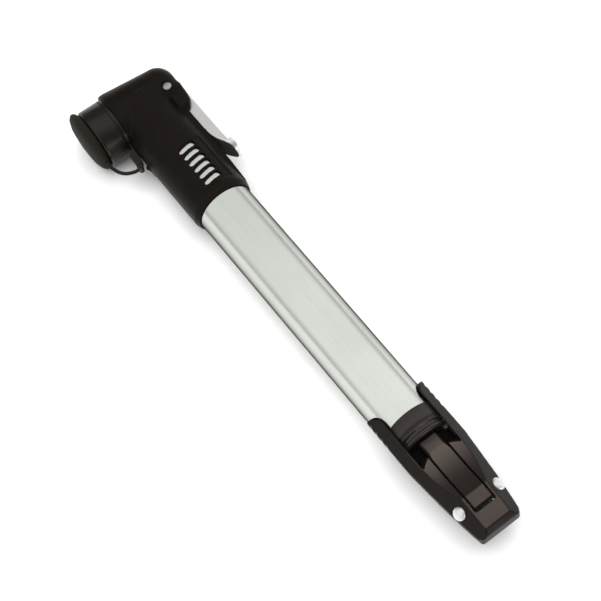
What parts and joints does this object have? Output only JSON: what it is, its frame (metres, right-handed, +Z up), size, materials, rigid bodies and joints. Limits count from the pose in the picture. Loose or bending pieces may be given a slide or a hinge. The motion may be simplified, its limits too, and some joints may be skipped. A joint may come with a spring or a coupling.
{
  "type": "mini bicycle pump",
  "caption": "Pocket bicycle pump: straight metal barrel, angled valve head with thumb lever and tethered dust cap, and a short forked handle that folds out on the rod.",
  "frame": {"origin": "bottom centre of the bounding box of the closed pump, lying on its back", "axes": "+X along the barrel from the valve head to the handle, -Y the way the valve mouth points, +Y the thumb lever's side, +Z up to the handle's pads"},
  "size_m": [0.2336, 0.0453, 0.0261],
  "materials": {
    "head_plastic": "satin moulded black",
    "nut_plastic": "satin moulded black",
    "inner_plastic": "plain moulded dark grey",
    "collar_plastic": "satin moulded black",
    "handle_plastic": "matt moulded warm black",
    "cap_rubber": "matt olive black",
    "seal_rubber": "matt black",
    "lever_aluminium": "satin silver",
    "barrel_aluminium": "satin anodised silver",
    "rod_steel": "dark satin",
    "bright_steel": "bright turned"
  },
  "bodies": {
    "pump_body": {"head_body": "head_plastic", "mouth_nut": "nut_plastic", "valve_grommet": "seal_rubber", "tether_ring": "nut_plastic", "lever_pin": "bright_steel", "barrel": "barrel_aluminium", "cylinder_plug": "inner_plastic", "barrel_seal": "seal_rubber", "collar": "collar_plastic", "rod_bushing": "inner_plastic", "rod_wiper": "seal_rubber", "rod_bumper": "seal_rubber"},
    "check_valve": {"check_valve_disc": "seal_rubber", "check_valve_spring": "bright_steel"},
    "clamp": {"clamp_plunger": "inner_plastic", "plunger_seals": "seal_rubber"},
    "lever": {"thumb_lever": "lever_aluminium"},
    "cap": {"dust_cap": "cap_rubber", "cap_strap": "cap_rubber"},
    "piston": {"piston_head": "inner_plastic", "piston_seal": "seal_rubber"},
    "rod": {"piston_rod": "rod_steel", "piston_washer": "bright_steel", "piston_screw": "bright_steel", "handle_core": "handle_plastic", "core_screw": "bright_steel"},
    "handle": {"handle_shell": "handle_plastic", "hinge_pin": "bright_steel", "hinge_plugs": "bright_steel"}
  },
  "joints": [
    {"name": "lever_lift", "type": "hinge", "parent": "pump_body", "child": "lever", "pos_m": [-0.0987, 0.01575, 0.01305], "axis": [0, 0, 1], "range_deg": [0, 95]},
    {"name": "clamp_slide", "type": "slide", "parent": "pump_body", "child": "clamp", "axis": [0, -1, 0], "range_m": [0, 0.0021], "deforming": ["valve_grommet"]},
    {"name": "cap_swing", "type": "hinge", "parent": "pump_body", "child": "cap", "pos_m": [-0.0812, -0.01095, 0.01305], "axis": [0, 0, 1], "range_deg": [0, 100]},
    {"name": "check_lift", "type": "slide", "parent": "pump_body", "child": "check_valve", "axis": [-1, 0, 0], "range_m": [0, 0.001], "stiffness_N_per_m": 100, "springref_m": -0.001, "deforming": ["check_valve_spring"]},
    {"name": "pump_stroke", "type": "slide", "parent": "pump_body", "child": "piston", "axis": [1, 0, 0], "range_m": [0, 0.11]},
    {"name": "rod_spin", "type": "hinge", "parent": "piston", "child": "rod", "pos_m": [-0.0621, 0.00395, 0.01305], "axis": [1, 0, 0], "continuous": true},
    {"name": "handle_fold", "type": "hinge", "parent": "rod", "child": "handle", "pos_m": [0.1047, 0.00395, 0.01945], "axis": [0, 1, 0], "range_deg": [0, 90]}
  ],
  "couplings": [
    {"joint": "clamp_slide", "follows": "lever_lift", "m_per_rad": 0.0012062}
  ]
}
